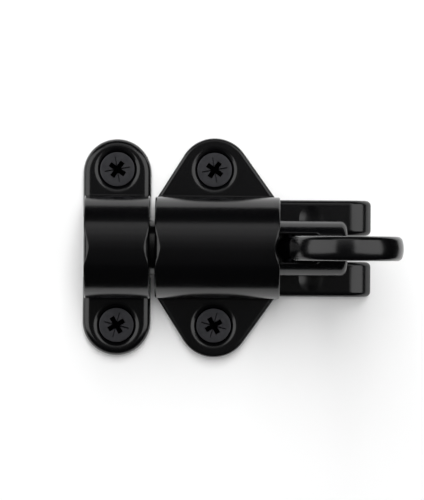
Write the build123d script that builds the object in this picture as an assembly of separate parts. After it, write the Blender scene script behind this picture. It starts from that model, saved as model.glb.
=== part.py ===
from build123d import *

import os
from math import cos, radians, sin, sqrt, tan

# Toggle bolt latch: a ring-pull spring bolt in a die-cast housing, with its keeper.
# Frame, in millimetres: Z = 0 is the mounting plane and +Z points away from it.
# X = Y = 0 lies midway between the two housing screws, under the bolt's axis.
# The bolt runs along X: its nose points to -X, into the keeper, and its ring to +X.

# ---------------------------------------------------------------- driving dimensions
AXIS_Z = 9.5              # height of the bolt's axis over the mounting plane
BOLT_R = 6.3
RUNNING = 0.1             # radial clearance of the bolt in its guides
SCREW_PITCH = 36.0        # both castings have the same screw spacing
PLATE_T = 3.3             # and the same plate thickness
FOOT_R = 0.45             # hollow round where a saddle stands on its plate
RIM_R = 0.4               # rounding of a saddle's end rims, below their rolled-over tops
ROLL_LIFT = 0.02          # the roll-overs meet a saddle's crown in a faint edge, not a tangent

# housing casting
FLANGE_END_Y = 17.0       # centres of the flange's rounded ends
FLANGE_END_R = 8.3
FLANGE_LEFT, FLANGE_RIGHT = -13.2, 14.05
FLANGE_EDGE_R = 0.8
BARREL_R = 11.6
BARREL_FRONT, BARREL_REAR = -13.45, 14.85
BARREL_FOOT = (-13.55, 15.15)  # the ends lean in towards the top
BARREL_ROLL_R = 1.6       # roll-over of the barrel's ends at their top
CHAMBER_R = 8.0           # spring chamber, bored from the front
CHAMBER_END = 10.35
CRADLE_END = 36.3
CRADLE_HALF_W = 11.15
CRADLE_NOSE_L = 5.1       # length of the roll-over at the cradle's free end
CRADLE_EDGE_R = 1.2
NOTCH_HALF_W = 3.05       # gap between the cradle's two arms
NOTCH_START = 27.0
SEAT_X = 22.4             # shallow transverse hold-open seat in the arms
SEAT_R = 13.0
SEAT_DEPTH = 0.3
SEAT_HALF_L = 7.1         # from the axis to the centre of each rounded end
RELIEF_R = 3.3            # round relief in the barrel's rear rim
RELIEF_X = 17.2

# keeper casting
KEEPER_LEFT, KEEPER_RIGHT = -30.35, -14.65
KEEPER_LENGTH = 50.0
KEEPER_EDGE_R = 1.7
ARCH_R = 11.75
ARCH_FOOT = (-30.1, -14.7)   # the arch's two ends at the mounting plane
ARCH_TOP = (-29.4, -14.6)    # and at its top
ARCH_ROLL_R = 1.5
TUNNEL_R = 7.0            # the tunnel is open to the mounting plane

# bolt
NOSE_X = -19.6
TAIL_X = 30.3
TAIL_EDGE_R = 1.4
BEVEL_DEG = 30.0          # the bevel's slope from a square-cut end
BEVEL_NOSE = 3.0          # the bevel starts this far above the axis
POCKET_LEFT, POCKET_RIGHT = 13.9, 24.0
POCKET_HALF_W = 3.2
POCKET_DEPTH = 3.3        # the pocket's floor lies this far under the axis
POCKET_CORNER_R = 0.9
POCKET_EDGE_R = 0.3
PIN_R = 1.25
PIN_HALF_L = 5.9

# ring pull
PIVOT_X = 17.1
RING_TILT_DEG = 59.2      # shank against the pocket's end, measured from the bolt's axis
RING_REACH = 23.8         # pivot to the ring's centre
RING_R = 12.7
RING_HOLE_R = 8.3
RING_T = 5.4
RING_CROWN_R = 6.2        # the ring's section bulges outwards and inwards
RING_EDGE_R = 1.2
SHANK_HALF_W = 2.6        # in the ring's plane
SHANK_HALF_T = 2.2
HUB_R = 2.75

# parts inside the barrel
BUSH_L = 5.0
BUSH_INSET = 0.25         # behind the barrel's front face
CLIP_T, CLIP_GROOVE_R, CLIP_R, CLIP_GAP = 1.0, 5.3, 7.4, 5.8
WASHER_T, WASHER_R = 1.0, 7.6
SLIP = 0.05               # end float between stacked parts
WIRE_R = 0.55
SPRING_MEAN_R = 7.15
SPRING_TURNS = 6.0
LOCK_PIN_R = 1.0
LOCK_PIN_TOP = 3.0

# countersunk cross-recess screws
SCREW_L = 16.0
HEAD_R = 4.0
HEAD_SINK = 0.45          # head's top under the plate's top
CONE_HALF_DEG = 40.0
NECK_Z = 0.05             # the head's cone meets the plain shank here
SHANK_R = 1.95
SHANK_PLAIN_END = -4.0
THREAD_ROOT_R = 1.35
THREAD_PITCH = 1.4
POINT_L = 3.0
CROSS_TIP_R = 2.15
CROSS_HALF_W = 0.55
CROSS_DEPTH = 2.0
TICK_START_R, TICK_END_R, TICK_W, TICK_DEPTH = 1.15, 2.95, 0.2, 0.15
SINK_R = 4.55             # mouth of the countersink
LIP_W = 0.9               # rounded lip round the mouth
HOLE_R = 2.2
HEAD_GAP = 0.12           # radial gap between the head's cone and the hole's
UPPER_CROSS_DEG, LOWER_CROSS_DEG = 55.0, 30.0

MIDDLE_KEEPER_X = (KEEPER_LEFT + KEEPER_RIGHT) / 2
BUSH_INNER_X = BARREL_FRONT + BUSH_L
CLIP_X = BUSH_INNER_X + SLIP
WASHER_X = CLIP_X + CLIP_T + SLIP
SPRING_X = WASHER_X + WASHER_T + SLIP


# ---------------------------------------------------------------- helpers
def rod(radius, x_start, x_end, z=AXIS_Z):
    """A cylinder along X on the bolt's axis."""
    return Pos((x_start + x_end) / 2, 0, z) * Rot(0, 90, 0) * Cylinder(radius, x_end - x_start)


def block(x_range, y_range, z_range):
    """A box given by its two limits on each axis."""
    size = [high - low for low, high in (x_range, y_range, z_range)]
    middle = [(high + low) / 2 for low, high in (x_range, y_range, z_range)]
    return Pos(*middle) * Box(*size)


def saddle(radius, foot, top):
    """A half-round bar on upright feet. Its two ends stand at foot below and at top above."""
    crown = AXIS_Z + radius
    outline = Pos(0, AXIS_Z) * Circle(radius)
    outline += Pos(0, AXIS_Z / 2) * Rectangle(2 * radius, AXIS_Z)
    outline &= Pos(0, crown) * Rectangle(4 * radius, 2 * crown)
    start, end = min(foot[0], top[0]), max(foot[1], top[1])
    return extrude(Plane.YZ.offset(start) * outline, amount=end - start)


def arch(radius, foot, top, roll_r):
    """A saddle whose ends roll over at the top and have small rims down their sides."""
    crown = AXIS_Z + radius + ROLL_LIFT
    side_view = make_face(
        Polyline((foot[0], 0), (foot[1], 0), (top[1], crown), (top[0], crown), (foot[0], 0))
    )
    side_view = fillet(side_view.vertices().sort_by(Axis.Y)[-2:], roll_r)
    body = saddle(radius, foot, top) & extrude(Plane.XZ * side_view, amount=2 * radius, both=True)

    def is_rim(edge):
        """An end's upright edge or its curved one, on either side."""
        middle = edge @ 0.5
        across = abs((edge @ 1 - edge @ 0).X)
        return abs(middle.Y) > radius / 2 and middle.Z > 1 and across < (foot[1] - foot[0]) / 2

    rims = [edge for edge in body.edges() if is_rim(edge) and edge.length > roll_r]
    return fillet(rims, RIM_R)


def foot_rounds(radius, x_start, x_end):
    """The hollow rounds along both feet of a saddle, on top of its plate."""
    rounds = []
    for side in (1, -1):
        near, far = side * radius, side * (radius + FOOT_R)
        strip = block(
            (x_start, x_end), (min(near, far), max(near, far)), (PLATE_T, PLATE_T + FOOT_R)
        )
        rounds.append(strip - Pos(0, far, 0) * rod(FOOT_R, x_start - 1, x_end + 1, PLATE_T + FOOT_R))
    return rounds


def screw_hole():
    """The tool that cuts one countersunk screw hole with a rounded lip, on the Z axis."""
    slope = tan(radians(CONE_HALF_DEG))
    mouth = (SINK_R, NECK_Z + (SINK_R - SHANK_R - HEAD_GAP) / slope)
    cone_end = mouth[1] - (SINK_R - HOLE_R) / slope
    lip = (SINK_R + LIP_W, PLATE_T)
    over = 1.0
    profile = Polyline(
        mouth,
        (HOLE_R, cone_end),
        (HOLE_R, -over),
        (0, -over),
        (0, PLATE_T + over),
        (SINK_R + LIP_W, PLATE_T + over),
        lip,
    )
    profile += TangentArc(lip, mouth, tangent=(-1, 0))
    return revolve(Plane.XZ * make_face(profile), Axis.Z)


# ---------------------------------------------------------------- castings
def make_housing():
    """Flange, barrel and two-armed cradle in one casting."""
    barrel = arch(BARREL_R, BARREL_FOOT, (BARREL_FRONT, BARREL_REAR), BARREL_ROLL_R)
    ends = [Pos(0, side * FLANGE_END_Y) * Circle(FLANGE_END_R) for side in (1, -1)]
    waist = Pos((FLANGE_LEFT + FLANGE_RIGHT) / 2, 0) * Rectangle(
        FLANGE_RIGHT - FLANGE_LEFT, 2 * BARREL_R
    )
    outline = make_hull((ends[0] + ends[1] + waist).edges())
    flange = extrude(outline, amount=PLATE_T)
    flange = fillet(flange.faces().sort_by(Axis.Z)[-1].edges(), FLANGE_EDGE_R)

    casting = barrel + flange + make_cradle()
    for round_ in foot_rounds(BARREL_R, FLANGE_LEFT + FLANGE_EDGE_R, FLANGE_RIGHT - FLANGE_EDGE_R):
        casting += round_
    casting -= rod(CHAMBER_R, BARREL_FRONT - 1, CHAMBER_END)
    casting -= rod(BOLT_R + RUNNING, CHAMBER_END - 1, CRADLE_END + 1)
    casting -= Pos(RELIEF_X, 0, AXIS_Z + BARREL_R) * Cylinder(RELIEF_R, 2 * BARREL_R)
    lock_x = (BARREL_FRONT + BUSH_INNER_X) / 2
    casting -= Pos(lock_x, 0, 0) * Cylinder(LOCK_PIN_R, 2 * LOCK_PIN_TOP)
    for side in (1, -1):
        casting -= Pos(0, side * SCREW_PITCH / 2, 0) * screw_hole()
    return casting


def make_cradle():
    """Two flat arms under the bolt's tail, with the transverse seat across them."""
    start = BARREL_REAR - 2 * CRADLE_EDGE_R
    nose_x = CRADLE_END - CRADLE_NOSE_L
    outline = Polyline((CRADLE_END, 0), (start, 0), (start, PLATE_T), (nose_x, PLATE_T))
    outline += TangentArc((nose_x, PLATE_T), (CRADLE_END, 0), tangent=(1, 0))
    arms = extrude(Plane.XZ * make_face(outline), amount=CRADLE_HALF_W, both=True)
    notch_end = Pos(NOTCH_START + NOTCH_HALF_W, 0, PLATE_T) * Cylinder(NOTCH_HALF_W, 4 * PLATE_T)
    notch_x = (NOTCH_START + NOTCH_HALF_W, CRADLE_END + 1)
    arms -= notch_end + block(notch_x, (-NOTCH_HALF_W, NOTCH_HALF_W), (-1, PLATE_T + 1))

    def is_outline(edge):
        """Top and nose edges along the arms' sides, not their foot."""
        y = abs(edge.center().Y)
        on_side = abs(y - CRADLE_HALF_W) < 0.01 or abs(y - NOTCH_HALF_W) < 0.01
        return on_side and edge.center().Z > 0.5 and edge.center().X > start + 0.5

    arms = fillet([edge for edge in arms.edges() if is_outline(edge)], CRADLE_EDGE_R)
    seat_z = PLATE_T + SEAT_R - SEAT_DEPTH
    seat = Pos(SEAT_X, 0, seat_z) * Rot(90, 0, 0) * Cylinder(SEAT_R, 2 * SEAT_HALF_L)
    for side in (1, -1):
        seat += Pos(SEAT_X, side * SEAT_HALF_L, seat_z) * Sphere(SEAT_R)
    return arms - seat


def make_keeper():
    """Obround plate with a half-round saddle and a tunnel open at its back."""
    width = KEEPER_RIGHT - KEEPER_LEFT
    plate = extrude(
        Pos(MIDDLE_KEEPER_X, 0) * Rot(0, 0, 90) * SlotOverall(KEEPER_LENGTH, width), amount=PLATE_T
    )
    plate = fillet(plate.faces().sort_by(Axis.Z)[-1].edges(), KEEPER_EDGE_R)
    casting = plate + arch(ARCH_R, ARCH_FOOT, ARCH_TOP, ARCH_ROLL_R)
    for round_ in foot_rounds(ARCH_R, KEEPER_LEFT + KEEPER_EDGE_R, KEEPER_RIGHT - KEEPER_EDGE_R):
        casting += round_
    casting -= rod(TUNNEL_R, KEEPER_LEFT - 1, KEEPER_RIGHT + 1)
    casting -= block((KEEPER_LEFT - 1, KEEPER_RIGHT + 1), (-TUNNEL_R, TUNNEL_R), (-1, AXIS_Z))
    for side in (1, -1):
        casting -= Pos(MIDDLE_KEEPER_X, side * SCREW_PITCH / 2, 0) * screw_hole()
    return casting


# ---------------------------------------------------------------- bolt and its parts
def make_bolt():
    """Round bolt: bevelled nose, clip groove, and a pocket in the tail for the ring's shank."""
    body = rod(BOLT_R, NOSE_X, TAIL_X)
    body = fillet(body.faces().sort_by(Axis.X)[-1].edges(), TAIL_EDGE_R)
    bevel = Pos(NOSE_X, 0, AXIS_Z + BEVEL_NOSE) * Rot(0, -BEVEL_DEG, 0)
    size = 6 * BOLT_R
    body -= bevel * Pos(-size / 2, 0, 0) * Box(size, size, size)
    groove = rod(BOLT_R + 1, CLIP_X - SLIP, CLIP_X + CLIP_T + SLIP)
    body -= groove - rod(CLIP_GROOVE_R, NOSE_X, TAIL_X)
    pocket = block(
        (POCKET_LEFT, POCKET_RIGHT),
        (-POCKET_HALF_W, POCKET_HALF_W),
        (AXIS_Z - POCKET_DEPTH, AXIS_Z + 2 * BOLT_R),
    )
    body -= fillet(pocket.edges().filter_by(Axis.Z), POCKET_CORNER_R)

    def on_rim(edge):
        """The edge where the pocket breaks the bolt's round surface."""
        middle = edge @ 0.5
        away = sqrt(middle.Y**2 + (middle.Z - AXIS_Z) ** 2)
        return abs(away - BOLT_R) < 0.01 and POCKET_LEFT - 0.1 < middle.X < POCKET_RIGHT + 0.1

    body = fillet([edge for edge in body.edges() if on_rim(edge)], POCKET_EDGE_R)
    return body - Pos(PIVOT_X, 0, AXIS_Z) * Rot(90, 0, 0) * Cylinder(PIN_R, 4 * BOLT_R)


def make_ring_pull():
    """Pull ring, oval shank and ball hub in one casting, tilted up from the bolt."""
    centre_x = PIVOT_X + RING_REACH * cos(radians(RING_TILT_DEG))
    centre_z = AXIS_Z + RING_REACH * sin(radians(RING_TILT_DEG))
    section = Pos((RING_R + RING_HOLE_R) / 2, 0) * Rectangle(RING_R - RING_HOLE_R, RING_T)
    section &= Pos(RING_R - RING_CROWN_R, 0) * Circle(RING_CROWN_R)
    section &= Pos(RING_HOLE_R + RING_CROWN_R, 0) * Circle(RING_CROWN_R)
    section = fillet(section.vertices(), RING_EDGE_R)
    ring = Pos(centre_x, 0, centre_z) * Rot(90, 0, 0) * revolve(Plane.XZ * section, Axis.Z)
    shank_l = RING_REACH - RING_R + 1.5
    shank = extrude(Ellipse(SHANK_HALF_W, SHANK_HALF_T), amount=shank_l)
    pivot = Pos(PIVOT_X, 0, AXIS_Z)
    tilted = pivot * Rot(0, 90 - RING_TILT_DEG, 0)
    pull = ring + tilted * shank + pivot * Sphere(HUB_R)
    return pull - pivot * Rot(90, 0, 0) * Cylinder(PIN_R + SLIP, 4 * HUB_R)


def make_ring_pin():
    """Cross pin that carries the ring, pressed into the bolt."""
    pin = Cylinder(PIN_R, 2 * PIN_HALF_L)
    pin = chamfer(pin.edges(), PIN_R / 5)
    return Pos(PIVOT_X, 0, AXIS_Z) * Rot(90, 0, 0) * pin


def make_guide_bush():
    """Plain bush that closes the spring chamber and guides the bolt's nose."""
    bush = rod(CHAMBER_R, BARREL_FRONT + BUSH_INSET, BUSH_INNER_X)
    bush -= rod(BOLT_R + RUNNING, BARREL_FRONT - 1, BUSH_INNER_X + 1)
    lock_x = (BARREL_FRONT + BUSH_INNER_X) / 2
    return bush - Pos(lock_x, 0, 0) * Cylinder(LOCK_PIN_R, 2 * LOCK_PIN_TOP)


def make_lock_pin():
    """Pin pressed up from the back to hold the guide bush."""
    lock_x = (BARREL_FRONT + BUSH_INNER_X) / 2
    return Pos(lock_x, 0, LOCK_PIN_TOP / 2) * Cylinder(LOCK_PIN_R, LOCK_PIN_TOP - 2 * SLIP)


def make_clip():
    """Open retaining clip snapped into the bolt's groove."""
    clip = rod(CLIP_R, CLIP_X, CLIP_X + CLIP_T)
    clip -= rod(CLIP_GROOVE_R + SLIP, CLIP_X - 1, CLIP_X + CLIP_T + 1)
    mouth = (AXIS_Z - 2 * CLIP_R, AXIS_Z)
    return clip - block((CLIP_X - 1, CLIP_X + CLIP_T + 1), (-CLIP_GAP / 2, CLIP_GAP / 2), mouth)


def make_thrust_washer():
    """Washer between the clip and the spring: it slides with the bolt but needn't turn."""
    washer = rod(WASHER_R, WASHER_X, WASHER_X + WASHER_T)
    return washer - rod(BOLT_R + 1.5 * RUNNING, WASHER_X - 1, WASHER_X + WASHER_T + 1)


def make_spring():
    """Compression spring between the thrust washer and the chamber's rear wall."""
    length = CHAMBER_END - SPRING_X - 2 * (WIRE_R + SLIP)
    helix = Helix(pitch=length / SPRING_TURNS, height=length, radius=SPRING_MEAN_R)
    section = Plane(helix @ 0, z_dir=helix % 0) * Circle(WIRE_R)
    coil = sweep(section, path=helix, is_frenet=True)
    return Pos(SPRING_X + WIRE_R + SLIP, 0, AXIS_Z) * Rot(0, 90, 0) * coil


# ---------------------------------------------------------------- screws
def make_screw(x, y, cross_deg):
    """Countersunk wood screw with a cross recess and the four tick marks of its kind."""
    top = PLATE_T - HEAD_SINK
    cone_top = NECK_Z + (HEAD_R - SHANK_R) / tan(radians(CONE_HALF_DEG))
    tip_z = top - SCREW_L
    points = [(0, top), (HEAD_R, top), (HEAD_R, cone_top), (SHANK_R, NECK_Z)]
    points += [(SHANK_R, SHANK_PLAIN_END), (THREAD_ROOT_R, SHANK_PLAIN_END - THREAD_PITCH / 4)]
    z = SHANK_PLAIN_END - THREAD_PITCH / 2
    while z > tip_z + POINT_L:
        points += [(THREAD_ROOT_R, z), (SHANK_R, z - 0.3 * THREAD_PITCH)]
        points += [(SHANK_R, z - 0.4 * THREAD_PITCH), (THREAD_ROOT_R, z - 0.7 * THREAD_PITCH)]
        z -= THREAD_PITCH
    points += [(0, tip_z), (0, top)]
    body = revolve(Plane.XZ * make_face(Polyline(*points)), Axis.Z)
    for turn in (0, 90):
        slot = extrude(
            Pos(0, 0, top) * Rot(0, 0, turn) * Rectangle(2 * CROSS_TIP_R, 2 * CROSS_HALF_W),
            amount=-CROSS_DEPTH,
            taper=14,
        )
        body -= slot
    for turn in (45, 135, 225, 315):
        tick = Pos((TICK_START_R + TICK_END_R) / 2, 0, top) * Box(
            TICK_END_R - TICK_START_R, TICK_W, 2 * TICK_DEPTH
        )
        body -= Rot(0, 0, turn) * tick
    return Pos(x, y, 0) * Rot(0, 0, cross_deg) * body


def main():
    """Builds every piece and writes one STEP file for each."""
    pieces = {
        "housing": make_housing(),
        "keeper": make_keeper(),
        "bolt": make_bolt(),
        "ring_pull": make_ring_pull(),
        "ring_pin": make_ring_pin(),
        "guide_bush": make_guide_bush(),
        "bush_lock_pin": make_lock_pin(),
        "retaining_clip": make_clip(),
        "thrust_washer": make_thrust_washer(),
        "bolt_spring": make_spring(),
    }
    half = SCREW_PITCH / 2
    for name, x in (("housing_screw", 0), ("keeper_screw", MIDDLE_KEEPER_X)):
        pieces[f"{name}_upper"] = make_screw(x, half, UPPER_CROSS_DEG)
        pieces[f"{name}_lower"] = make_screw(x, -half, LOWER_CROSS_DEG)
    os.makedirs("parts", exist_ok=True)
    for name, shape in pieces.items():
        export_step(shape, f"parts/{name}.step")
        print(name, round(shape.volume, 1), "mm3")


main()
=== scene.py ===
"""Looks of the toggle bolt latch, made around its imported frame.

Sizes written in this file are in millimetres and places come from the frame's own boxes.
Meshes are made in metres, in the frame's axes: +Z stands out of the mounting plane, the
bolt runs along X and each pair of screws stands along Y.
"""

import logging
import math
from collections.abc import Callable, Sequence
from dataclasses import dataclass
from enum import Enum

import bpy
from bpy.types import Node, NodeOutputs, NodeSocket, NodeTree
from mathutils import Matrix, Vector


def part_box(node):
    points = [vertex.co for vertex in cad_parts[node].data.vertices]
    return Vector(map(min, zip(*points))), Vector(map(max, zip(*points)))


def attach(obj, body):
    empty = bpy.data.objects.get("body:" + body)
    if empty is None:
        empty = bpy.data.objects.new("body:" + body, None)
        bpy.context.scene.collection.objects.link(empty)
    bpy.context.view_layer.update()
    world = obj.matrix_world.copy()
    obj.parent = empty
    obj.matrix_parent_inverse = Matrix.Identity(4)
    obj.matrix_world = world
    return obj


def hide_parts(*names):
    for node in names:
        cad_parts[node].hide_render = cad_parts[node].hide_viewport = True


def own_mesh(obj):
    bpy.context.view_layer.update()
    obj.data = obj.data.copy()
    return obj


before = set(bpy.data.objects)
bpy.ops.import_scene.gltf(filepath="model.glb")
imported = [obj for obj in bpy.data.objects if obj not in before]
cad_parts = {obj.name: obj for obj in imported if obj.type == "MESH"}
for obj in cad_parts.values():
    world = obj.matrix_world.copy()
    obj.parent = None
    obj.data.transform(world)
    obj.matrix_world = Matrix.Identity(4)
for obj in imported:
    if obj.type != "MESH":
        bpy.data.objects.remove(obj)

log = logging.getLogger("latch")
MM = 0.001
SMOOTH_ANGLE = math.radians(32.0)

Value = float | int | str | bool | Sequence[float] | NodeSocket | bpy.types.ID
Point = tuple[float, float]


# ---------------------------------------------------------------- small helpers
def linear(hex_colour: str) -> tuple[float, float, float, float]:
    """Turns an sRGB colour into the linear one that shaders use.

    Args:
        hex_colour: Six hexadecimal digits, such as "1a1a1c".

    Returns:
        Linear red, green and blue, and an alpha of 1.
    """
    channels = [int(hex_colour[i : i + 2], 16) / 255 for i in (0, 2, 4)]
    low = [c / 12.92 if c <= 0.04045 else ((c + 0.055) / 1.055) ** 2.4 for c in channels]
    return (low[0], low[1], low[2], 1.0)


def add(
    tree: NodeTree,
    kind: str,
    settings: dict[str, object] | None = None,
    inputs: dict[str | int, Value] | None = None,
) -> Node:
    """Adds one node with its settings and links, to a shader or a geometry tree.

    Args:
        tree: The tree that gets the node.
        kind: Blender's name of the node type.
        settings: Attributes to set on the node, such as its operation.
        inputs: What each input holds, by name or number: a value, or the socket that feeds it.

    Returns:
        The new node.
    """
    node = tree.nodes.new(kind)
    for name, value in (settings or {}).items():
        setattr(node, name, value)
    for key, value in (inputs or {}).items():
        sources = value if isinstance(value, list) else [value]
        for source in sources:
            if isinstance(source, NodeSocket):
                tree.links.new(source, node.inputs[key])
            else:
                node.inputs[key].default_value = source
    return node


def object_from(mesh: bpy.types.Mesh, name: str) -> bpy.types.Object:
    """Links a mesh into the scene as an object at the origin."""
    made = bpy.data.objects.new(name, mesh)
    bpy.context.scene.collection.objects.link(made)
    return made


# ---------------------------------------------------------------- finishes
@dataclass(frozen=True)
class Finish:
    """A surface as it is made. Subclasses add the pattern that making it leaves.

    Args:
        name: The real material and its process.
        colour: The surface's sRGB colour, in hexadecimal.
        roughness: Microscopic roughness of the shader.
        metallic: 1 for bare or plated metal, 0 for a coat.
    """

    name: str
    colour: str
    roughness: float
    metallic: float = 0.0

    def pattern(self, tree: NodeTree, shader: Node) -> None:
        """Adds this finish's pattern to the shader. The plain finish has none."""

    def material(self) -> bpy.types.Material:
        """Builds the material, or finds it if it is already there.

        Returns:
            The Blender material.
        """
        found = bpy.data.materials.get(self.name)
        if found:
            return found
        made = bpy.data.materials.new(self.name)
        made.use_nodes = True
        tree = made.node_tree
        tree.nodes.clear()
        shader = add(
            tree,
            "ShaderNodeBsdfPrincipled",
            inputs={
                "Base Color": linear(self.colour),
                "Roughness": self.roughness,
                "Metallic": self.metallic,
            },
        )
        self.pattern(tree, shader)
        add(tree, "ShaderNodeOutputMaterial", inputs={"Surface": shader.outputs["BSDF"]})
        made.diffuse_color = linear(self.colour)
        return made


@dataclass(frozen=True)
class PowderCoat(Finish):
    """Zinc alloy or steel with a baked satin powder coat.

    The powder melts into a skin with a fine orange peel, so reflections keep their shape
    and lose their sharp edges. A much finer grain in the skin makes it satin.
    """

    peel_size: float = 1.1  # mm from one swell of the orange peel to the next
    peel_depth: float = 0.004  # mm
    grain_size: float = 0.12  # mm
    grain_depth: float = 0.0012  # mm
    drift_size: float = 9.0  # mm from one change of gloss to the next
    roughness_swing: float = 0.035

    def pattern(self, tree: NodeTree, shader: Node) -> None:
        """Adds the orange peel, the grain and a slow drift of gloss."""
        place = add(tree, "ShaderNodeTexCoord").outputs["Object"]
        peel = add(
            tree,
            "ShaderNodeTexNoise",
            inputs={"Vector": place, "Scale": 1 / (self.peel_size * MM), "Detail": 2.0},
        )
        grain = add(
            tree,
            "ShaderNodeTexNoise",
            inputs={"Vector": place, "Scale": 1 / (self.grain_size * MM), "Detail": 1.0},
        )
        low = add(
            tree,
            "ShaderNodeBump",
            inputs={"Height": peel.outputs["Fac"], "Distance": self.peel_depth * MM},
        )
        fine = add(
            tree,
            "ShaderNodeBump",
            inputs={
                "Height": grain.outputs["Fac"],
                "Distance": self.grain_depth * MM,
                "Normal": low.outputs["Normal"],
            },
        )
        drift = add(
            tree,
            "ShaderNodeTexNoise",
            inputs={"Vector": place, "Scale": 1 / (self.drift_size * MM), "Detail": 3.0},
        )
        gloss = add(
            tree,
            "ShaderNodeMapRange",
            inputs={
                "Value": drift.outputs["Fac"],
                "To Min": self.roughness - self.roughness_swing,
                "To Max": self.roughness + self.roughness_swing,
            },
        )
        tree.links.new(fine.outputs["Normal"], shader.inputs["Normal"])
        tree.links.new(gloss.outputs["Result"], shader.inputs["Roughness"])


@dataclass(frozen=True)
class Plating(Finish):
    """Steel with a thin electroplated coat, such as zinc with a black or clear passivate.

    The plating follows the drawn or stamped metal under it, so it shows that metal's fine
    grain as a broken sheen, and it has cloudy patches where the passivate took unevenly.
    Below a given height the colour is painted near black, a painted shade standing in for the
    shadow down in the recess.
    """

    cloud_size: float = 1.6  # mm
    cloud_colour: str = "2b2b2e"
    grain_size: float = 0.09  # mm
    grain_depth: float = 0.002  # mm
    # The next three fields paint shade into hollows: below a height the colour fades to near
    # black, painted shade rather than a real coat.
    painted_shade_below: float | None = None  # mm over the mounting face; None for no dark hollows
    painted_shade_depth: float = 0.25  # mm over which the colour darkens
    painted_shade_colour: str = "050505"

    def pattern(self, tree: NodeTree, shader: Node) -> None:
        """Adds clouds and painted shade in the hollows to the colour, and grain to the normal."""
        place = add(tree, "ShaderNodeTexCoord").outputs["Object"]
        cloud = add(
            tree,
            "ShaderNodeTexNoise",
            inputs={"Vector": place, "Scale": 1 / (self.cloud_size * MM), "Detail": 4.0},
        )
        tint = add(
            tree,
            "ShaderNodeMix",
            settings={"data_type": "RGBA"},
            inputs={0: cloud.outputs["Fac"], 6: linear(self.colour), 7: linear(self.cloud_colour)},
        )
        grain = add(
            tree,
            "ShaderNodeTexNoise",
            inputs={"Vector": place, "Scale": 1 / (self.grain_size * MM), "Detail": 2.0},
        )
        bump = add(
            tree,
            "ShaderNodeBump",
            inputs={"Height": grain.outputs["Fac"], "Distance": self.grain_depth * MM},
        )
        colour = tint.outputs[2]
        # Painted shade: below the given height the base colour fades to near black, in place of
        # the shadow inside the recess and ticks.
        if self.painted_shade_below is not None:
            height = add(tree, "ShaderNodeSeparateXYZ", inputs={0: place}).outputs["Z"]
            depth = add(
                tree,
                "ShaderNodeMapRange",
                inputs={
                    "Value": height,
                    "From Min": (self.painted_shade_below - self.painted_shade_depth) * MM,
                    "From Max": self.painted_shade_below * MM,
                },
            )
            colour = add(
                tree,
                "ShaderNodeMix",
                settings={"data_type": "RGBA"},
                inputs={0: depth.outputs["Result"], 6: linear(self.painted_shade_colour), 7: colour},
            ).outputs[2]
        tree.links.new(colour, shader.inputs["Base Color"])
        tree.links.new(bump.outputs["Normal"], shader.inputs["Normal"])


@dataclass(frozen=True)
class Turned(Finish):
    """Metal cut on a lathe about the bolt's axis.

    The tool's feed leaves fine rings round the axis, so light spreads across them.
    """

    feed: float = 0.18  # mm from ring to ring
    ring_depth: float = 0.003  # mm
    wander: float = 0.4

    def pattern(self, tree: NodeTree, shader: Node) -> None:
        """Adds the feed rings, centred on the bolt's axis."""
        low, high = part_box("bolt")
        middle = (low + high) / 2
        place = add(tree, "ShaderNodeTexCoord").outputs["Object"]
        centred = add(
            tree,
            "ShaderNodeMapping",
            inputs={"Vector": place, "Location": (0.0, -middle.y, -middle.z)},
        )
        wave_unit = 2 * math.pi / 20  # the wave node's period at a scale of 1
        rings = add(
            tree,
            "ShaderNodeTexWave",
            settings={"wave_type": "RINGS", "rings_direction": "X"},
            inputs={
                "Vector": centred.outputs["Vector"],
                "Scale": wave_unit / (self.feed * MM),
                "Distortion": self.wander,
                "Detail": 1.0,
            },
        )
        bump = add(
            tree,
            "ShaderNodeBump",
            inputs={"Height": rings.outputs["Fac"], "Distance": self.ring_depth * MM},
        )
        tree.links.new(bump.outputs["Normal"], shader.inputs["Normal"])


@dataclass(frozen=True)
class PaintedBoard(Finish):
    """The matt white board that the latch is fixed to. It is part of the studio."""

    speck_size: float = 2.5  # mm
    speck_depth: float = 0.01  # mm

    def pattern(self, tree: NodeTree, shader: Node) -> None:
        """Adds the roller's faint stipple."""
        place = add(tree, "ShaderNodeTexCoord").outputs["Object"]
        stipple = add(
            tree,
            "ShaderNodeTexNoise",
            inputs={"Vector": place, "Scale": 1 / (self.speck_size * MM), "Detail": 2.0},
        )
        bump = add(
            tree,
            "ShaderNodeBump",
            inputs={"Height": stipple.outputs["Fac"], "Distance": self.speck_depth * MM},
        )
        tree.links.new(bump.outputs["Normal"], shader.inputs["Normal"])


# A deep black skin with soft-edged reflections.
CASTING = PowderCoat("zinc_alloy_die_cast_satin_powder_coat", "040405", 0.20)
# The same coat on a turned bar, a little smoother and with wider swells.
BOLT_STEEL = PowderCoat("steel_bar_turned_satin_powder_coat", "040405", 0.19, peel_size=1.6)
# Grey against the black coat, with a broken metal sheen, and shade painted near black into its
# recesses.
SCREW_STEEL = Plating(
    "steel_cold_headed_black_zinc", "535356", 0.44, 1.0, cloud_colour="3f3f42", painted_shade_below=2.8
)
# Drawn wire under a film of oil: bright, with fine lines.
SPRING_WIRE = Plating(
    "spring_steel_hard_drawn_oiled", "9c9a96", 0.28, 1.0, cloud_colour="87847f", grain_size=0.06
)
# A dark blue-black pin that hides in the pocket.
BLACK_PIN = Plating("steel_turned_black_oxide", "1d1d20", 0.34, 1.0, cloud_colour="151517")
# Pale, slightly cloudy metal, for the small parts inside the barrel.
ZINC_STEEL = Plating("steel_stamped_bright_zinc", "b9bcc0", 0.3, 1.0, cloud_colour="a3a7ac")
# Warm yellow with rings of light from the lathe tool.
BRASS = Turned("brass_bar_turned", "d1a65a", 0.26, 1.0)
# Matt white with a faint stipple.
BOARD = PaintedBoard("fibreboard_rolled_white_paint", "f4f4f4", 0.75)


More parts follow.
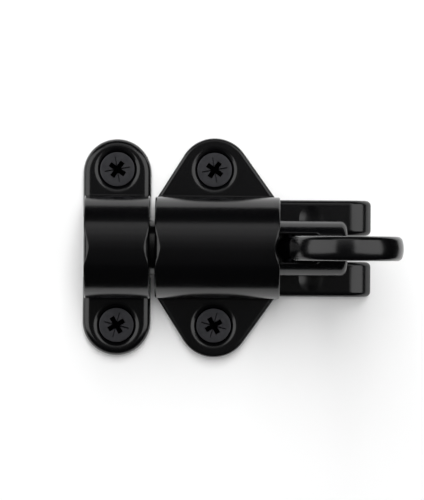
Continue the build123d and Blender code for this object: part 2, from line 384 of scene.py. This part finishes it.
# ---------------------------------------------------------------- geometry nodes
class Socket(Enum):
    """Kinds of input that a geometry tree can name."""

    NUMBER = "NodeSocketFloat"
    COUNT = "NodeSocketInt"
    PLACE = "NodeSocketVector"
    FINISH = "NodeSocketMaterial"


Inputs = dict[str, tuple[Socket, Value]]


@dataclass
class Generator:
    """A geometry tree, run on a base mesh and turned into a plain mesh.

    Args:
        name: The tree's name.
        inputs: Each named input's kind and value.
        build: Fills the tree. It takes the tree and its group input, and returns the
            geometry socket that holds the result.
    """

    name: str
    inputs: Inputs
    build: Callable[[NodeTree, Node], NodeSocket]

    def tree(self) -> tuple[NodeTree, dict[str, str]]:
        """Makes the tree with its interface.

        Returns:
            The tree, and each input's socket identifier by name.
        """
        made = bpy.data.node_groups.new(self.name, "GeometryNodeTree")
        made.interface.new_socket("Geometry", in_out="INPUT", socket_type="NodeSocketGeometry")
        made.interface.new_socket("Geometry", in_out="OUTPUT", socket_type="NodeSocketGeometry")
        names = {}
        for name, (kind, _) in self.inputs.items():
            socket = made.interface.new_socket(name, in_out="INPUT", socket_type=kind.value)
            names[name] = socket.identifier
        source = add(made, "NodeGroupInput")
        result = self.build(made, source)
        realized = add(made, "GeometryNodeRealizeInstances", inputs={"Geometry": result})
        dressed = add(
            made,
            "GeometryNodeSetMaterial",
            inputs={"Geometry": realized.outputs[0], "Material": source.outputs["Finish"]},
        )
        add(made, "NodeGroupOutput", inputs={"Geometry": dressed.outputs["Geometry"]})
        return made, names

    def run(self, base: bpy.types.Mesh, name: str) -> bpy.types.Object:
        """Runs the tree on a base mesh.

        Args:
            base: The mesh that the tree's first input gets.
            name: The finished piece's name.

        Returns:
            The finished piece, a plain mesh with no modifier.
        """
        tree, names = self.tree()
        worker = object_from(base, name + "_base")
        modifier = worker.modifiers.new(self.name, "NODES")
        modifier.node_group = tree
        for key, (_, value) in self.inputs.items():
            modifier[names[key]] = value
        graph = bpy.context.evaluated_depsgraph_get()
        mesh = bpy.data.meshes.new_from_object(worker.evaluated_get(graph), depsgraph=graph)
        bpy.data.objects.remove(worker)
        bpy.data.meshes.remove(base)
        mesh.name = name
        mesh.set_sharp_from_angle(angle=SMOOTH_ANGLE)
        return object_from(mesh, name)


def chain(points: Sequence[Point]) -> bpy.types.Mesh:
    """Makes a mesh of loose vertices, one for each point of a profile.

    Args:
        points: Radius and height of each point, in millimetres.

    Returns:
        The mesh, in metres, with the points in the XZ plane.
    """
    made = bpy.data.meshes.new("profile")
    made.from_pydata([(r * MM, 0.0, z * MM) for r, z in points], [], [])
    return made


def arc(centre: Point, radius: float, start: float, end: float, steps: int) -> list[Point]:
    """Points on an arc of a profile.

    Args:
        centre: The arc's centre, in millimetres.
        radius: Its radius.
        start: The first point's angle, in degrees.
        end: The last point's angle.
        steps: How many pieces the arc has.

    Returns:
        The arc's points, both ends included.
    """
    angles = [math.radians(start + (end - start) * i / steps) for i in range(steps + 1)]
    return [(centre[0] + radius * math.cos(a), centre[1] + radius * math.sin(a)) for a in angles]


def between(a: Point, b: Point, steps: int) -> list[Point]:
    """Evenly spaced points from a to b, without a itself."""
    return [
        (a[0] + (b[0] - a[0]) * i / steps, a[1] + (b[1] - a[1]) * i / steps)
        for i in range(1, steps + 1)
    ]


# ---------------------------------------------------------------- screws
class RecessTurn(Enum):
    """How far a screw's recess is turned when the screw is tight, in degrees."""

    UPPER = 55.0
    LOWER = 30.0


@dataclass
class WoodScrew:
    """One countersunk cross-recess wood screw, with a real helical thread.

    Args:
        node: The CAD node that it stands for.
        body: The body that it rides on.
        turn: How its recess is turned.
    """

    node: str
    body: str
    turn: RecessTurn
    shank_r: float = 1.95
    root_r: float = 1.35
    pitch: float = 1.45
    plain_end: float = -4.0
    cone_top: float = 2.49
    neck: float = 0.05
    rim_round: float = 0.14
    cone_turn: float = -50.0  # where the rim's round meets the cone, in degrees
    point_length: float = 3.6
    cross_r: float = 2.2
    cross_half_width: float = 0.6
    cross_depth: float = 2.1
    cross_taper: float = 0.16
    cross_over: float = 0.4  # how far the cutter stands out of the head
    tick_r: float = 2.95
    tick_depth: float = 0.16
    run_out: float = 0.5
    around: int = 96
    thread_steps: int = 14  # rows of faces to each turn
    point_steps: int = 40
    thread_half: float = 0.26  # the thread's half-width at its root, as a share of the pitch
    point_fade: float = 0.45  # the thread fades out below this share of the root's radius
    seam_gap: float = 0.004

    def profile(self, head_r: float, top: float, tip: float) -> list[Point]:
        """The screw's outline from the head's middle to the tip, threads left out.

        Args:
            head_r: The head's radius, in millimetres.
            top: The head's top.
            tip: The point's end.

        Returns:
            Radius and height of each point.
        """
        edge = self.rim_round
        points = [(0.0, top)] + between((0.0, top), (head_r - edge, top), 6)
        points += arc((head_r - edge, top - edge), edge, 90, 0, 5)[1:]
        points += between((head_r, top - edge), (head_r, self.cone_top + edge), 2)
        points += arc((head_r - edge, self.cone_top + edge), edge, 0, self.cone_turn, 4)[1:]
        points += between(points[-1], (self.shank_r, self.neck), 6)
        points += between((self.shank_r, self.neck), (self.shank_r, self.plain_end), 6)
        start = (self.root_r, self.plain_end - self.run_out)
        points += between((self.shank_r, self.plain_end), start, 4)
        taper_start = (self.root_r, tip + self.point_length)
        threaded = start[1] - taper_start[1]
        points += between(start, taper_start, round(threaded / self.pitch * self.thread_steps))
        points += between(taper_start, (0.0, tip), self.point_steps)
        return points

    def fill(self, tree: NodeTree, source: Node) -> NodeSocket:
        """Fills the geometry tree: lathe, thread, recess and ticks.

        Args:
            tree: The tree.
            source: Its group input.

        Returns:
            The finished screw's geometry.
        """

        def maths(operation: str, *values: Value) -> NodeSocket:
            """Adds one math node and gives its result."""
            settings = {"operation": operation}
            return add(tree, "ShaderNodeMath", settings, dict(enumerate(values))).outputs[0]

        given = source.outputs
        size = add(
            tree,
            "GeometryNodeAttributeDomainSize",
            inputs={"Geometry": given["Geometry"]},
        )
        last = maths("SUBTRACT", size.outputs["Point Count"], 1.0)
        sheet = add(
            tree,
            "GeometryNodeMeshGrid",
            inputs={
                "Size X": 1.0,
                "Size Y": 1.0,
                "Vertices X": given["Around"],
                "Vertices Y": size.outputs["Point Count"],
            },
        )
        flat = add(
            tree,
            "ShaderNodeSeparateXYZ",
            inputs={0: add(tree, "GeometryNodeInputPosition").outputs[0]},
        )
        turn = maths("ADD", flat.outputs["X"], 0.5)
        row = maths("ROUND", maths("MULTIPLY", maths("ADD", flat.outputs["Y"], 0.5), last))
        sampled = add(
            tree,
            "GeometryNodeSampleIndex",
            {"data_type": "FLOAT_VECTOR", "domain": "POINT"},
            {
                "Geometry": given["Geometry"],
                "Value": add(tree, "GeometryNodeInputPosition").outputs[0],
                "Index": row,
            },
        )
        outline = add(tree, "ShaderNodeSeparateXYZ", inputs={0: sampled.outputs["Value"]})
        radius, height = outline.outputs["X"], outline.outputs["Z"]
        climb = maths("SUBTRACT", maths("DIVIDE", height, given["Pitch"]), turn)
        phase = maths("ABSOLUTE", maths("SUBTRACT", maths("FRACT", climb), 0.5))
        crest = maths("SUBTRACT", 1.0, maths("DIVIDE", phase, self.thread_half))
        fade_in = add(
            tree,
            "ShaderNodeMapRange",
            inputs={
                "Value": height,
                "From Min": maths("SUBTRACT", given["Thread Start"], given["Pitch"]),
                "From Max": given["Thread Start"],
                "To Min": 1.0,
                "To Max": 0.0,
            },
        )
        fade_out = add(
            tree,
            "ShaderNodeMapRange",
            inputs={
                "Value": radius,
                "From Min": 0.0,
                "From Max": maths("MULTIPLY", given["Root Radius"], self.point_fade),
                "To Min": 0.0,
                "To Max": 1.0,
            },
        )
        ridge = maths("MULTIPLY", maths("MAXIMUM", crest, 0.0), given["Thread Height"])
        ridge = maths("MULTIPLY", ridge, fade_in.outputs["Result"])
        ridge = maths("MULTIPLY", ridge, fade_out.outputs["Result"])
        reach = maths("ADD", radius, ridge)
        angle = maths("MULTIPLY", turn, 2 * math.pi)
        wound = add(
            tree,
            "ShaderNodeCombineXYZ",
            inputs={
                "X": maths("MULTIPLY", reach, maths("COSINE", angle)),
                "Y": maths("MULTIPLY", reach, maths("SINE", angle)),
                "Z": height,
            },
        )
        skin = add(
            tree,
            "GeometryNodeSetPosition",
            inputs={"Geometry": sheet.outputs["Mesh"], "Position": wound.outputs[0]},
        )
        closed = add(
            tree,
            "GeometryNodeMergeByDistance",
            inputs={"Geometry": skin.outputs[0], "Distance": self.seam_gap * MM},
        )
        cutters = [self.slot(tree, given, quarter) for quarter in (0.0, 90.0)]
        cutters += [self.tick(tree, given, quarter) for quarter in (45.0, 135.0)]
        recess = add(
            tree,
            "GeometryNodeMeshBoolean",
            {"operation": "DIFFERENCE", "solver": "EXACT"},
            {"Mesh 1": closed.outputs[0], "Mesh 2": cutters},
        )
        placed = add(
            tree,
            "GeometryNodeTransform",
            inputs={
                "Geometry": recess.outputs["Mesh"],
                "Translation": given["Place"],
                "Rotation": add(
                    tree, "ShaderNodeCombineXYZ", inputs={"Z": given["Recess Turn"]}
                ).outputs[0],
            },
        )
        return add(
            tree, "GeometryNodeSetShadeSmooth", inputs={"Geometry": placed.outputs[0]}
        ).outputs[0]

    def slot(self, tree: NodeTree, given: NodeOutputs, turn: float) -> NodeSocket:
        """One bar of the recess cutter, narrower towards its bottom.

        Args:
            tree: The tree.
            given: The group input's sockets.
            turn: The bar's turn about the screw's axis, in degrees.

        Returns:
            The bar's geometry.
        """
        over = self.cross_over * MM
        tall = self.cross_depth * MM + over
        size = (2 * self.cross_r * MM, 2 * self.cross_half_width * MM, tall)
        bar = add(tree, "GeometryNodeMeshCube", inputs={"Size": size})
        position = add(tree, "GeometryNodeInputPosition").outputs[0]
        at = add(tree, "ShaderNodeSeparateXYZ", inputs={0: position})
        shrink = add(
            tree,
            "ShaderNodeMapRange",
            inputs={
                "Value": at.outputs["Z"],
                "From Min": -tall / 2,
                "From Max": tall / 2,
                "To Min": 1 - 2 * self.cross_taper,
                "To Max": 1.0,
            },
        )
        scaled = add(
            tree,
            "ShaderNodeCombineXYZ",
            inputs={
                axis: add(
                    tree,
                    "ShaderNodeMath",
                    {"operation": "MULTIPLY"},
                    {0: at.outputs[axis], 1: shrink.outputs["Result"]},
                ).outputs[0]
                for axis in ("X", "Y")
            },
        )
        tree.links.new(at.outputs["Z"], scaled.inputs["Z"])
        tapered = add(
            tree,
            "GeometryNodeSetPosition",
            inputs={"Geometry": bar.outputs["Mesh"], "Position": scaled.outputs[0]},
        )
        lift = add(
            tree,
            "ShaderNodeMath",
            {"operation": "SUBTRACT"},
            {0: given["Head Top"], 1: (self.cross_depth * MM - over) / 2},
        )
        place = add(tree, "ShaderNodeCombineXYZ", inputs={"Z": lift.outputs[0]})
        return add(
            tree,
            "GeometryNodeTransform",
            inputs={
                "Geometry": tapered.outputs[0],
                "Translation": place.outputs[0],
                "Rotation": (0.0, 0.0, math.radians(turn)),
            },
        ).outputs[0]

    def tick(self, tree: NodeTree, given: NodeOutputs, turn: float) -> NodeSocket:
        """Two opposite tick marks, cut by one square bar that lies on its edge.

        Args:
            tree: The tree.
            given: The group input's sockets.
            turn: The bar's turn about the screw's axis, in degrees.

        Returns:
            The bar's geometry.
        """
        side = math.sqrt(2) * self.tick_depth * MM
        bar = add(
            tree,
            "GeometryNodeMeshCube",
            inputs={"Size": (2 * self.tick_r * MM, side, side)},
        )
        edge_down = add(
            tree,
            "GeometryNodeTransform",
            inputs={"Geometry": bar.outputs["Mesh"], "Rotation": (math.radians(45), 0.0, 0.0)},
        )
        return add(
            tree,
            "GeometryNodeTransform",
            inputs={
                "Geometry": edge_down.outputs[0],
                "Translation": add(
                    tree, "ShaderNodeCombineXYZ", inputs={"Z": given["Head Top"]}
                ).outputs[0],
                "Rotation": (0.0, 0.0, math.radians(turn)),
            },
        ).outputs[0]

    def build(self) -> bpy.types.Object:
        """Makes the screw and puts it in its CAD node's place.

        Returns:
            The finished piece.
        """
        low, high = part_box(self.node)
        head_r = (high.x - low.x) / 2 / MM
        top, tip = high.z / MM, low.z / MM
        centre = (low + high) / 2
        generator = Generator(
            "countersunk_screw",
            {
                "Around": (Socket.COUNT, self.around + 1),
                "Pitch": (Socket.NUMBER, self.pitch * MM),
                "Thread Start": (Socket.NUMBER, self.plain_end * MM),
                "Thread Height": (Socket.NUMBER, (self.shank_r - self.root_r) * MM),
                "Root Radius": (Socket.NUMBER, self.root_r * MM),
                "Head Top": (Socket.NUMBER, high.z),
                "Recess Turn": (Socket.NUMBER, math.radians(self.turn.value)),
                "Place": (Socket.PLACE, (centre.x, centre.y, 0.0)),
                "Finish": (Socket.FINISH, SCREW_STEEL.material()),
            },
            self.fill,
        )
        piece = generator.run(chain(self.profile(head_r, top, tip)), self.node + "_threaded")
        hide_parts(self.node)
        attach(piece, self.body)
        return piece


# ---------------------------------------------------------------- spring
@dataclass
class CompressionSpring:
    """The bolt's return spring, with its end turns closed."""

    turns: float = 7.5
    wire_r: float = 0.55
    closing: float = 0.55
    travel: float = 7.5
    around_wire: int = 14
    steps_per_turn: int = 40

    def fill(self, tree: NodeTree, source: Node) -> NodeSocket:
        """Fills the geometry tree: a helix whose pitch drops at both ends, and its wire.

        Args:
            tree: The tree.
            source: Its group input.

        Returns:
            The spring's geometry.
        """

        def maths(operation: str, *values: Value) -> NodeSocket:
            """Adds one math node and gives its result."""
            settings = {"operation": operation}
            return add(tree, "ShaderNodeMath", settings, dict(enumerate(values))).outputs[0]

        given = source.outputs
        helix = add(
            tree,
            "GeometryNodeCurveSpiral",
            inputs={
                "Resolution": given["Steps"],
                "Rotations": given["Turns"],
                "Start Radius": given["Mean Radius"],
                "End Radius": given["Mean Radius"],
                "Height": given["Length"],
            },
        )
        position = add(tree, "GeometryNodeInputPosition").outputs[0]
        at = add(tree, "ShaderNodeSeparateXYZ", inputs={0: position})
        share = maths("DIVIDE", at.outputs["Z"], given["Length"])
        wave = maths("SINE", maths("MULTIPLY", share, 2 * math.pi))
        eased = maths("SUBTRACT", share, maths("MULTIPLY", wave, given["Closing"]))
        moved = add(
            tree,
            "ShaderNodeCombineXYZ",
            inputs={
                "X": at.outputs["X"],
                "Y": at.outputs["Y"],
                "Z": maths("MULTIPLY", eased, given["Length"]),
            },
        )
        closed = add(
            tree,
            "GeometryNodeSetPosition",
            inputs={"Geometry": helix.outputs["Curve"], "Position": moved.outputs[0]},
        )
        ring = add(
            tree,
            "GeometryNodeCurvePrimitiveCircle",
            inputs={"Resolution": given["Around Wire"], "Radius": given["Wire Radius"]},
        )
        wire = add(
            tree,
            "GeometryNodeCurveToMesh",
            inputs={
                "Curve": closed.outputs[0],
                "Profile Curve": ring.outputs["Curve"],
                "Fill Caps": True,
            },
        )
        laid = add(
            tree,
            "GeometryNodeTransform",
            inputs={
                "Geometry": wire.outputs["Mesh"],
                "Rotation": (0.0, math.radians(90), 0.0),
                "Translation": given["Place"],
            },
        )
        smooth = add(tree, "GeometryNodeSetShadeSmooth", inputs={"Geometry": laid.outputs[0]})
        return smooth.outputs[0]

    def build(self) -> bpy.types.Object:
        """Makes the spring in its CAD node's place.

        Returns:
            The finished piece.
        """
        low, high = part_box("bolt_spring")
        wire = self.wire_r * MM
        generator = Generator(
            "compression_spring",
            {
                "Steps": (Socket.COUNT, self.steps_per_turn),
                "Turns": (Socket.NUMBER, self.turns),
                "Mean Radius": (Socket.NUMBER, (high.y - low.y) / 2 - wire),
                "Length": (Socket.NUMBER, high.x - low.x - 2 * wire),
                "Closing": (Socket.NUMBER, self.closing / (2 * math.pi)),
                "Wire Radius": (Socket.NUMBER, wire),
                "Around Wire": (Socket.COUNT, self.around_wire),
                "Place": (Socket.PLACE, (low.x + wire, 0.0, (low.z + high.z) / 2)),
                "Finish": (Socket.FINISH, SPRING_WIRE.material()),
            },
            self.fill,
        )
        piece = generator.run(bpy.data.meshes.new("empty"), "bolt_spring_coil")
        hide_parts("bolt_spring")
        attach(piece, "housing_body")
        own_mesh(piece)
        return piece


# ---------------------------------------------------------------- pieces kept from the frame
@dataclass
class KeptPieces:
    """CAD nodes whose shape is right and that only get their finish."""

    finishes: dict[str, Finish]

    def dress(self) -> None:
        """Gives each node its finish."""
        for node, finish in self.finishes.items():
            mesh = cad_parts[node].data
            for place in range(len(mesh.materials)):
                mesh.materials[place] = finish.material()
            log.info("%s keeps its CAD shape, finish %s", node, finish.name)


# ---------------------------------------------------------------- studio
class LightUse(Enum):
    """What a light is there for."""

    GLOSS = "mirrored in the coat"
    BOARD = "falls on the board"


@dataclass(frozen=True)
class Softbox:
    """A flat light that faces the latch.

    Args:
        name: The light's name.
        use: Whether the coat mirrors it or it lights the board.
        heading: The side it stands on, in degrees from +X towards +Y.
        lean: The angles from straight above at which it starts and ends, in degrees.
        side: The angles at which it starts and ends sideways, seen counter-clockwise.
        radiance: How bright its face is.
        distance: Metres from the latch.
    """

    name: str
    use: LightUse
    heading: float
    lean: tuple[float, float]
    side: tuple[float, float]
    radiance: float
    distance: float = 0.7

    def build(self, target: Vector) -> bpy.types.Object:
        """Places the light.

        Args:
            target: The point that it faces.

        Returns:
            The light's object.
        """
        lean, heading = math.radians(sum(self.lean) / 2), math.radians(self.heading)
        half_span = math.radians(self.lean[1] - self.lean[0]) / 2
        left, right = (math.tan(math.radians(angle)) for angle in self.side)
        tall = 2 * self.distance * math.tan(half_span)
        wide = self.distance * (right - left)
        data = bpy.data.lights.new(self.name, "AREA")
        data.shape = "RECTANGLE"
        data.size, data.size_y = wide, tall
        data.energy = self.radiance * math.pi * tall * wide
        made = bpy.data.objects.new(self.name, data)
        bpy.context.scene.collection.objects.link(made)
        level = Vector((math.cos(heading), math.sin(heading), 0.0))
        sideways = Vector((-level.y, level.x, 0.0))
        away = level * math.sin(lean) + Vector((0.0, 0.0, math.cos(lean)))
        made.location = target + (away + sideways * (left + right) / 2) * self.distance
        made.rotation_euler = away.to_track_quat("Z", "Y").to_euler()
        made.visible_camera = False
        made.visible_glossy = self.use is LightUse.GLOSS
        made.visible_diffuse = self.use is LightUse.BOARD
        return made


SIDE_BOXES = (
    Softbox("softbox_left", LightUse.GLOSS, 180.0, (21.0, 83.0), (-36.0, 18.0), 1.8),
    Softbox("softbox_right", LightUse.GLOSS, 0.0, (15.0, 73.0), (-18.0, 36.0), 1.8),
)
# A long box stands over the latch and grows brighter towards +Y: one strip for each step,
# with the angles at which the strip starts and ends, and its radiance.
OVERHEAD = (
    (-40, 0, 0.03),
    (0, 4, 0.1),
    (4, 15, 0.1),
    (15, 28, 0.28),
    (28, 42, 0.56),
    (42, 57, 0.8),
)
BOARD_LIGHTS = (
    Softbox("key", LightUse.BOARD, 90.0, (-1.0, 65.0), (-14.0, 14.0), 6.0),
    Softbox("dome", LightUse.BOARD, 90.0, (-54.0, 70.0), (-62.0, 62.0), 0.5),
)


@dataclass
class Studio:
    """Camera, lights, board and surroundings.

    Args:
        lens: The camera's focal length, in millimetres, on a sensor of the width below.
        distance: The camera's height over the mounting plane.
        aim: Where the camera stands over that plane.
        roll: The camera's turn about its own axis, in degrees.
        board_half: Half the board's length and width.
        board_drop: How far the board lies under the mounting plane.
        overhead_side: The overhead box's half-width, in degrees.
        surroundings: How bright the room is in reflections.
        backdrop: How bright it is behind the latch.
    """

    lens: float = 201.5
    sensor: float = 36.0
    clip: tuple[float, float] = (0.01, 10.0)  # metres
    distance: float = 650.0
    aim: Point = (-0.49, -0.52)
    roll: float = 0.4
    board_half: Point = (85.0, 72.0)
    board_drop: float = 0.02
    overhead_side: float = 22.0
    surroundings: float = 0.015
    backdrop: float = 1.0

    def build(self) -> None:
        """Makes the whole studio."""
        self.camera()
        self.board()
        self.sky()
        middle = Vector((0.0, 0.0, 0.0))
        side = (-self.overhead_side, self.overhead_side)
        strips = tuple(
            Softbox(f"overhead_{place}", LightUse.GLOSS, 90.0, (start, end), side, radiance)
            for place, (start, end, radiance) in enumerate(OVERHEAD)
        )
        for box in SIDE_BOXES + strips + BOARD_LIGHTS:
            box.build(middle)
            log.info("%s at radiance %.2f, %s", box.name, box.radiance, box.use.value)

    def camera(self) -> None:
        """Looks straight down on the mounting plane."""
        data = bpy.data.cameras.new("camera")
        data.lens = self.lens
        data.sensor_width = self.sensor
        data.clip_start, data.clip_end = self.clip
        made = bpy.data.objects.new("camera", data)
        bpy.context.scene.collection.objects.link(made)
        made.location = (self.aim[0] * MM, self.aim[1] * MM, self.distance * MM)
        made.rotation_euler = (0.0, 0.0, math.radians(self.roll))
        bpy.context.scene.camera = made

    def board(self) -> None:
        """Makes the white board under the latch."""
        x, y, z = self.board_half[0] * MM, self.board_half[1] * MM, -self.board_drop * MM
        made = bpy.data.meshes.new("board")
        corners = [(-x, -y, z), (x, -y, z), (x, y, z), (-x, y, z)]
        made.from_pydata(corners, [], [(0, 1, 2, 3)])
        made.materials.append(BOARD.material())
        object_from(made, "board")

    def sky(self) -> None:
        """Makes the surroundings dim in reflections and pale behind the latch."""
        world = bpy.data.worlds.new("surroundings")
        bpy.context.scene.world = world
        world.use_nodes = True
        tree = world.node_tree
        tree.nodes.clear()
        white = {"Color": (1, 1, 1, 1)}
        dim = add(tree, "ShaderNodeBackground", inputs=white | {"Strength": self.surroundings})
        pale = add(tree, "ShaderNodeBackground", inputs=white | {"Strength": self.backdrop})
        seen = add(tree, "ShaderNodeLightPath").outputs["Is Camera Ray"]
        both = add(
            tree,
            "ShaderNodeMixShader",
            inputs={0: seen, 1: dim.outputs[0], 2: pale.outputs[0]},
        )
        add(tree, "ShaderNodeOutputWorld", inputs={"Surface": both.outputs[0]})
        bpy.context.scene.view_settings.view_transform = "Standard"


def corners(limits: tuple[Vector, Vector]) -> list[list[float]]:
    """A box's two corners as plain lists."""
    return [list(limits[0]), list(limits[1])]


def main() -> None:
    logging.basicConfig(level=logging.INFO, format="%(name)s: %(message)s")
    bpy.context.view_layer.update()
    KeptPieces(
        {
            "housing": CASTING,
            "keeper": CASTING,
            "ring_pull": CASTING,
            "bolt": BOLT_STEEL,
            "guide_bush": BRASS,
            "ring_pin": BLACK_PIN,
            "bush_lock_pin": ZINC_STEEL,
            "retaining_clip": ZINC_STEEL,
            "thrust_washer": ZINC_STEEL,
        }
    ).dress()
    for part, body in (("housing", "housing_body"), ("keeper", "keeper_body")):
        for turn in RecessTurn:
            screw = WoodScrew(f"{part}_screw_{turn.name.lower()}", body, turn)
            piece = screw.build()
            log.info("%s: %d faces", piece.name, len(piece.data.polygons))
    spring = CompressionSpring().build()
    log.info("%s: %d faces", spring.name, len(spring.data.polygons))
    Studio().build()


if __name__ == "__main__":
    main()
